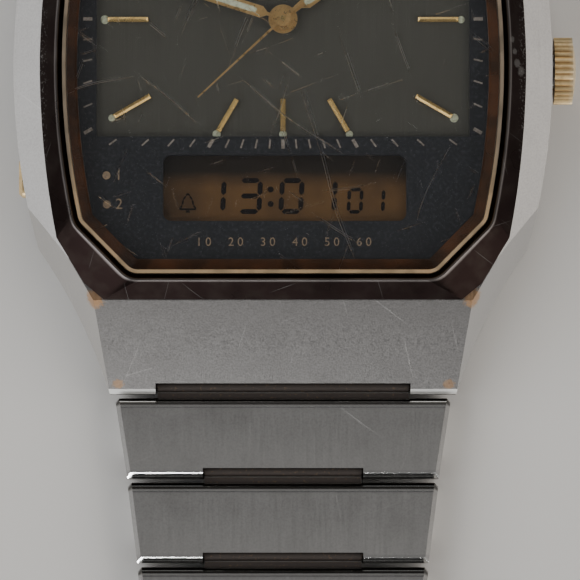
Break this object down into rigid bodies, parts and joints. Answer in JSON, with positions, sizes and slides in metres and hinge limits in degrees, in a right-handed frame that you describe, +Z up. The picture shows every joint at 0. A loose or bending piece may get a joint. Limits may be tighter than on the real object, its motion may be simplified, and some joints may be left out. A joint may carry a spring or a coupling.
{
  "type": "wristwatch",
  "caption": "Quartz wristwatch with hands and a small liquid crystal display, laid flat on its case back, on a steel link bracelet with a fold-over clasp.",
  "frame": {"origin": "centre of the case back's outer face", "axes": "+X to the crown, +Y to 12 o'clock along the bracelet, +Z up through the crystal"},
  "size_m": [0.0335, 0.1603, 0.008],
  "materials": {
    "case_steel": "brushed",
    "bezel_steel": "polished, scratched",
    "gold_trim": "polished",
    "crystal_glass": "clear, finely scratched",
    "crystal_gasket": "satin",
    "back_steel": "brushed",
    "gasket_rubber": "matte",
    "screw_steel": "satin",
    "brass_parts": "satin",
    "dial_grey": "vertical grain",
    "mask_dark": "satin",
    "gold_markers": "polished",
    "display_glass": "satin",
    "frame_plastic": "moulded",
    "board_green": "satin",
    "chip_dark": "matte",
    "battery_steel": "satin",
    "strap_steel": "satin",
    "coil_copper": "lacquered wire",
    "stator_iron": "satin",
    "bridge_brass": "satin",
    "wheel_brass": "satin",
    "gold_hands": "polished",
    "gold_crown": "worn",
    "stem_steel": "satin",
    "link_steel": "brushed",
    "clasp_steel": "brushed",
    "blade_steel": "polished"
  },
  "bodies": {
    "case": {"case_middle": "case_steel", "bezel": "bezel_steel", "trim_ring": "gold_trim", "crystal": "crystal_glass", "crystal_gasket": "crystal_gasket", "caseback": "back_steel", "case_gaskets": "gasket_rubber", "caseback_screws": "screw_steel", "sound_disc": "brass_parts", "dial_plate": "dial_grey", "dial_mask": "mask_dark", "hour_markers": "gold_markers", "lcd_panel": "display_glass", "zebra_strips": "gasket_rubber", "module_frame": "frame_plastic", "circuit_board": "board_green", "circuit_parts": "chip_dark", "battery": "battery_steel", "battery_strap": "strap_steel", "coil": "coil_copper", "stator": "stator_iron", "train_bridge": "bridge_brass", "pusher_spring_upper": "stem_steel", "pusher_spring_lower": "stem_steel"},
    "seconds": {"second_wheel": "wheel_brass", "second_hand": "gold_hands"},
    "minutes": {"centre_wheel": "wheel_brass", "minute_hand": "gold_hands"},
    "hours": {"hour_wheel": "wheel_brass", "hour_hand": "gold_hands"},
    "third": {"third_wheel": "wheel_brass"},
    "minute_work": {"minute_wheel": "wheel_brass"},
    "intermediate": {"intermediate_wheel": "wheel_brass"},
    "rotor": {"rotor": "wheel_brass"},
    "setting_yoke": {"setting_yoke": "stem_steel"},
    "crown": {"crown": "gold_crown", "stem": "stem_steel"},
    "pusher_upper": {"pusher_upper": "gold_crown"},
    "pusher_lower": {"pusher_lower": "gold_crown"},
    "link_12_side_1": {"link_12_side_1": "link_steel"},
    "link_12_side_2": {"link_12_side_2": "link_steel"},
    "link_12_side_3": {"link_12_side_3": "link_steel"},
    "link_12_side_4": {"link_12_side_4": "link_steel"},
    "link_12_side_5": {"link_12_side_5": "link_steel"},
    "link_12_side_6": {"link_12_side_6": "link_steel"},
    "link_12_side_7": {"link_12_side_7": "link_steel"},
    "link_12_side_8": {"link_12_side_8": "link_steel"},
    "link_12_side_9": {"link_12_side_9": "link_steel"},
    "link_6_side_1": {"link_6_side_1": "link_steel"},
    "link_6_side_2": {"link_6_side_2": "link_steel"},
    "link_6_side_3": {"link_6_side_3": "link_steel"},
    "link_6_side_4": {"link_6_side_4": "link_steel"},
    "link_6_side_5": {"link_6_side_5": "link_steel"},
    "link_6_side_6": {"link_6_side_6": "link_steel"},
    "link_6_side_7": {"link_6_side_7": "link_steel"},
    "link_6_side_8": {"link_6_side_8": "link_steel"},
    "link_6_side_9": {"link_6_side_9": "link_steel"},
    "clasp_cover": {"clasp_cover": "clasp_steel"},
    "clasp_blade_long": {"clasp_blade_long": "blade_steel"},
    "clasp_blade_short": {"clasp_blade_short": "blade_steel"}
  },
  "joints": [
    {"name": "seconds_turn", "type": "hinge", "parent": "case", "child": "seconds", "pos_m": [0, 0.0028, 0], "axis": [0, 0, -1], "continuous": true},
    {"name": "minutes_turn", "type": "hinge", "parent": "case", "child": "minutes", "pos_m": [0, 0.0028, 0], "axis": [0, 0, -1], "continuous": true},
    {"name": "hours_turn", "type": "hinge", "parent": "case", "child": "hours", "pos_m": [0, 0.0028, 0], "axis": [0, 0, -1], "continuous": true},
    {"name": "third_turn", "type": "hinge", "parent": "case", "child": "third", "pos_m": [-0.00159, 0.00556, 0], "axis": [0, 0, -1], "continuous": true},
    {"name": "minute_work_turn", "type": "hinge", "parent": "case", "child": "minute_work", "pos_m": [0.00166, 0.00376, 0], "axis": [0, 0, -1], "continuous": true},
    {"name": "intermediate_turn", "type": "hinge", "parent": "case", "child": "intermediate", "pos_m": [0.00163, -0.00002, 0], "axis": [0, 0, -1], "continuous": true},
    {"name": "rotor_turn", "type": "hinge", "parent": "case", "child": "rotor", "pos_m": [0.00271, -0.00189, 0], "axis": [0, 0, -1], "continuous": true},
    {"name": "crown_pull", "type": "slide", "parent": "case", "child": "setting_yoke", "axis": [1, 0, 0], "range_m": [0, 0.001]},
    {"name": "crown_turn", "type": "hinge", "parent": "setting_yoke", "child": "crown", "pos_m": [0.0167, 0, 0.003], "axis": [1, 0, 0], "continuous": true},
    {"name": "pusher_upper_press", "type": "slide", "parent": "case", "child": "pusher_upper", "axis": [1, 0, 0], "range_m": [0, 0.0004], "stiffness_N_per_m": 500, "springref_m": -0.001, "deforming": ["pusher_spring_upper"]},
    {"name": "pusher_lower_press", "type": "slide", "parent": "case", "child": "pusher_lower", "axis": [1, 0, 0], "range_m": [0, 0.0004], "stiffness_N_per_m": 500, "springref_m": -0.001, "deforming": ["pusher_spring_lower"]},
    {"name": "hinge_12_side_1", "type": "hinge", "parent": "case", "child": "link_12_side_1", "pos_m": [0, 0.0188, 0.0012], "axis": [1, 0, 0], "range_deg": [-22, 8]},
    {"name": "hinge_12_side_2", "type": "hinge", "parent": "link_12_side_1", "child": "link_12_side_2", "pos_m": [0, 0.02385, 0.0012], "axis": [1, 0, 0], "range_deg": [-22, 8]},
    {"name": "hinge_12_side_3", "type": "hinge", "parent": "link_12_side_2", "child": "link_12_side_3", "pos_m": [0, 0.0289, 0.0012], "axis": [1, 0, 0], "range_deg": [-22, 8]},
    {"name": "hinge_12_side_4", "type": "hinge", "parent": "link_12_side_3", "child": "link_12_side_4", "pos_m": [0, 0.03395, 0.0012], "axis": [1, 0, 0], "range_deg": [-22, 8]},
    {"name": "hinge_12_side_5", "type": "hinge", "parent": "link_12_side_4", "child": "link_12_side_5", "pos_m": [0, 0.039, 0.0012], "axis": [1, 0, 0], "range_deg": [-22, 8]},
    {"name": "hinge_12_side_6", "type": "hinge", "parent": "link_12_side_5", "child": "link_12_side_6", "pos_m": [0, 0.04405, 0.0012], "axis": [1, 0, 0], "range_deg": [-22, 8]},
    {"name": "hinge_12_side_7", "type": "hinge", "parent": "link_12_side_6", "child": "link_12_side_7", "pos_m": [0, 0.0491, 0.0012], "axis": [1, 0, 0], "range_deg": [-22, 8]},
    {"name": "hinge_12_side_8", "type": "hinge", "parent": "link_12_side_7", "child": "link_12_side_8", "pos_m": [0, 0.05415, 0.0012], "axis": [1, 0, 0], "range_deg": [-22, 8]},
    {"name": "hinge_12_side_9", "type": "hinge", "parent": "link_12_side_8", "child": "link_12_side_9", "pos_m": [0, 0.0592, 0.0012], "axis": [1, 0, 0], "range_deg": [-22, 8]},
    {"name": "hinge_6_side_1", "type": "hinge", "parent": "case", "child": "link_6_side_1", "pos_m": [0, -0.0188, 0.0012], "axis": [1, 0, 0], "range_deg": [-8, 22]},
    {"name": "hinge_6_side_2", "type": "hinge", "parent": "link_6_side_1", "child": "link_6_side_2", "pos_m": [0, -0.02385, 0.0012], "axis": [1, 0, 0], "range_deg": [-8, 22]},
    {"name": "hinge_6_side_3", "type": "hinge", "parent": "link_6_side_2", "child": "link_6_side_3", "pos_m": [0, -0.0289, 0.0012], "axis": [1, 0, 0], "range_deg": [-8, 22]},
    {"name": "hinge_6_side_4", "type": "hinge", "parent": "link_6_side_3", "child": "link_6_side_4", "pos_m": [0, -0.03395, 0.0012], "axis": [1, 0, 0], "range_deg": [-8, 22]},
    {"name": "hinge_6_side_5", "type": "hinge", "parent": "link_6_side_4", "child": "link_6_side_5", "pos_m": [0, -0.039, 0.0012], "axis": [1, 0, 0], "range_deg": [-8, 22]},
    {"name": "hinge_6_side_6", "type": "hinge", "parent": "link_6_side_5", "child": "link_6_side_6", "pos_m": [0, -0.04405, 0.0012], "axis": [1, 0, 0], "range_deg": [-8, 22]},
    {"name": "hinge_6_side_7", "type": "hinge", "parent": "link_6_side_6", "child": "link_6_side_7", "pos_m": [0, -0.0491, 0.0012], "axis": [1, 0, 0], "range_deg": [-8, 22]},
    {"name": "hinge_6_side_8", "type": "hinge", "parent": "link_6_side_7", "child": "link_6_side_8", "pos_m": [0, -0.05415, 0.0012], "axis": [1, 0, 0], "range_deg": [-8, 22]},
    {"name": "hinge_6_side_9", "type": "hinge", "parent": "link_6_side_8", "child": "link_6_side_9", "pos_m": [0, -0.0592, 0.0012], "axis": [1, 0, 0], "range_deg": [-8, 22]},
    {"name": "hinge_clasp_cover", "type": "hinge", "parent": "link_12_side_9", "child": "clasp_cover", "pos_m": [0, 0.06425, 0.0012], "axis": [1, 0, 0], "range_deg": [-22, 8]},
    {"name": "clasp_fold", "type": "hinge", "parent": "clasp_cover", "child": "clasp_blade_long", "pos_m": [0, 0.0931, 0.0026], "axis": [1, 0, 0], "range_deg": [0, 150]},
    {"name": "blade_fold", "type": "hinge", "parent": "clasp_blade_long", "child": "clasp_blade_short", "pos_m": [0, 0.07275, 0.002], "axis": [-1, 0, 0], "range_deg": [0, 150]}
  ],
  "couplings": [
    {"joint": "minutes_turn", "follows": "seconds_turn", "ratio": 0.016667},
    {"joint": "hours_turn", "follows": "seconds_turn", "ratio": 0.0013889},
    {"joint": "third_turn", "follows": "seconds_turn", "ratio": -0.13333},
    {"joint": "minute_work_turn", "follows": "seconds_turn", "ratio": -0.0055556},
    {"joint": "intermediate_turn", "follows": "seconds_turn", "ratio": -6},
    {"joint": "rotor_turn", "follows": "seconds_turn", "ratio": 30}
  ]
}
